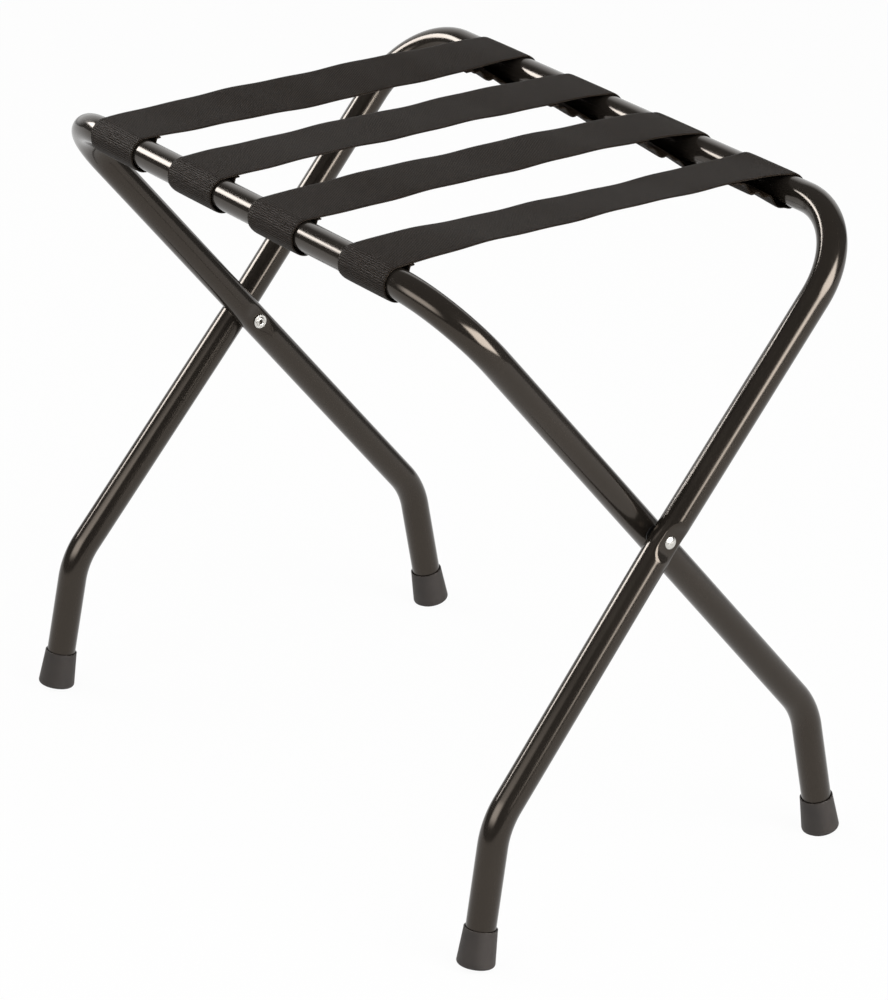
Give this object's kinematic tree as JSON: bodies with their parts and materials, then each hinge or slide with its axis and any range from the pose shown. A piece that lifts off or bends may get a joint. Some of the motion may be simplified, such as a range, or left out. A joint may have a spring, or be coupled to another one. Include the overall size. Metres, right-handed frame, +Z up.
{
  "type": "folding luggage bench",
  "caption": "Folding hotel luggage bench: crossed bent-tube frames riveted at the crossings, webbing straps across the top and rubber feet.",
  "frame": {"origin": "on the floor, midway between the four feet and under the pivot line", "axes": "+X along the top bars to the right, +Y from the front bar to the rear bar, +Z up"},
  "size_m": [0.6042, 0.3662, 0.5004],
  "materials": {
    "powder_coat": "gloss black powder coat",
    "webbing": "woven black webbing",
    "rubber": "matte moulded rubber",
    "zinc": "bright zinc plate",
    "spacer": "black nylon"
  },
  "bodies": {
    "inner_frame": {"inner_frame": "powder_coat", "pivot_rivet_left": "zinc", "pivot_rivet_right": "zinc", "clinch_washer_left": "zinc", "clinch_washer_right": "zinc", "spacer_washer_left": "spacer", "spacer_washer_right": "spacer", "foot_tip_inner_left": "rubber", "foot_tip_inner_right": "rubber", "strap_1": "webbing", "strap_2": "webbing", "strap_3": "webbing", "strap_4": "webbing"},
    "outer_frame": {"outer_frame": "powder_coat", "foot_tip_outer_left": "rubber", "foot_tip_outer_right": "rubber"}
  },
  "joints": [
    {"name": "fold", "type": "hinge", "parent": "inner_frame", "child": "outer_frame", "pos_m": [0, 0, 0.284], "axis": [1, 0, 0], "range_deg": [0, 72], "deforming": ["strap_1", "strap_2", "strap_3", "strap_4"]}
  ]
}
